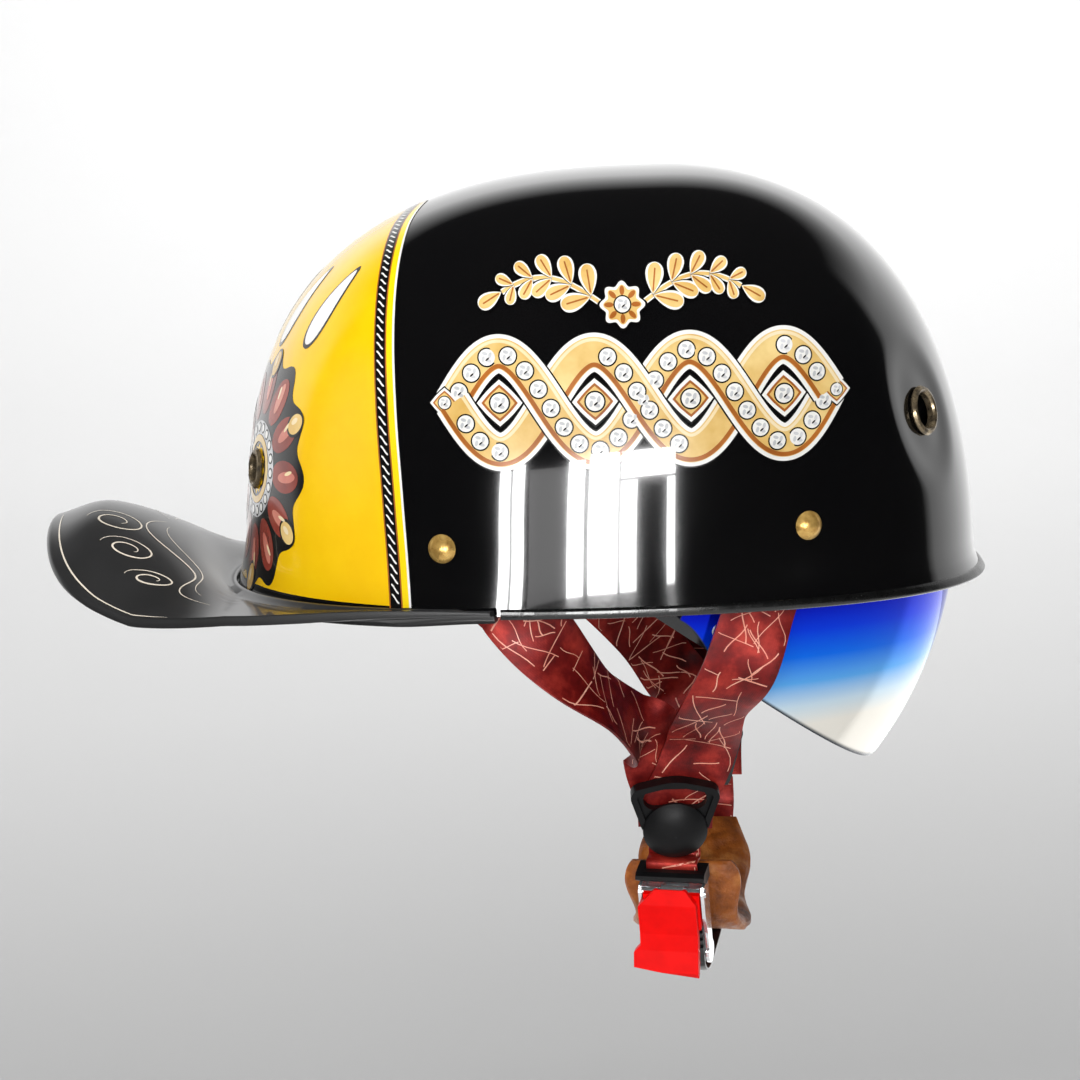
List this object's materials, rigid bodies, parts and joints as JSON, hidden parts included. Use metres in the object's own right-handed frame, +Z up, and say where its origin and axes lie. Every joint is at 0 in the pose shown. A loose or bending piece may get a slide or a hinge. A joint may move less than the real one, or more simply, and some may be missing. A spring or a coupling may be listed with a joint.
{
  "type": "motorcycle half helmet",
  "caption": "Open-face half helmet shaped like a baseball cap worn backwards: rear bill, swing-down tinted lens, riveted chin harness, padded liner and quick-release buckle.",
  "frame": {"origin": "where the top of the wearer's head touches the underside of the crown pad", "axes": "+X to the wearer's front, +Y to the wearer's left, +Z up; the rim of the shell is level"},
  "size_m": [0.3362, 0.222, 0.285],
  "materials": {
    "shell_black": "polished clear coat over black",
    "brim_black": "polished",
    "trim_rubber": "smooth",
    "foam_grey": "moulded foam",
    "pad_cloth": "quilted cloth",
    "eyelet_bronze": "antique bronze",
    "rivet_brass": "polished",
    "washer_steel": "plain",
    "lens_blue": "blue gradient mirror coating",
    "carrier_black": "satin moulded",
    "bracket_black": "satin moulded",
    "screw_black": "black oxide",
    "washer_nylon": "natural nylon",
    "web_red": "satin woven webbing with thin light lines",
    "divider_black": "satin moulded",
    "cap_black": "smooth",
    "channel_steel": "polished",
    "cover_black": "smooth",
    "lever_red": "glossy",
    "pin_steel": "ground",
    "spring_steel": "drawn wire",
    "strip_black": "satin moulded",
    "pad_leather": "soft satin, wrinkled"
  },
  "bodies": {
    "helmet": {"outer_shell": "shell_black", "brim": "brim_black", "rim_trim": "trim_rubber", "foam_liner_right": "foam_grey", "foam_liner_left": "foam_grey", "foam_liner_rear": "foam_grey", "brow_pad": "pad_cloth", "side_pad_right": "pad_cloth", "side_pad_left": "pad_cloth", "rear_pad": "pad_cloth", "crown_pad": "pad_cloth", "front_eyelets": "eyelet_bronze", "rear_eyelets": "eyelet_bronze", "strap_rivets": "rivet_brass", "rivet_washers": "washer_steel", "pivot_bracket_right": "bracket_black", "pivot_bracket_left": "bracket_black", "pivot_screws": "screw_black", "pivot_washers": "washer_nylon", "strap_front_right": "web_red", "strap_rear_right": "web_red", "strap_front_left": "web_red", "strap_rear_left": "web_red", "divider_right": "divider_black", "divider_left": "divider_black", "divider_cap_right": "cap_black", "divider_cap_left": "cap_black", "divider_back_right": "divider_black", "divider_back_left": "divider_black", "buckle_strap": "web_red", "buckle_channel": "channel_steel", "buckle_cover": "cover_black", "lever_pin": "pin_steel", "lever_spring": "spring_steel", "ratchet_strip": "strip_black", "chin_strap": "web_red", "chin_pad": "pad_leather"},
    "visor": {"visor_lens": "lens_blue", "carrier_right": "carrier_black", "carrier_left": "carrier_black", "lens_screws": "screw_black"},
    "lever": {"release_lever": "lever_red"}
  },
  "joints": [
    {"name": "visor_swing", "type": "hinge", "parent": "helmet", "child": "visor", "pos_m": [-0.0374, 0, -0.0887], "axis": [0, -1, 0], "range_deg": [0, 29]},
    {"name": "lever_release", "type": "hinge", "parent": "helmet", "child": "lever", "pos_m": [-0.00152, -0.05782, -0.21456], "axis": [-0.9659, 0.2588, 0], "range_deg": [0, 30], "stiffness_Nm_per_rad": 0.03, "springref_deg": -20.05}
  ]
}
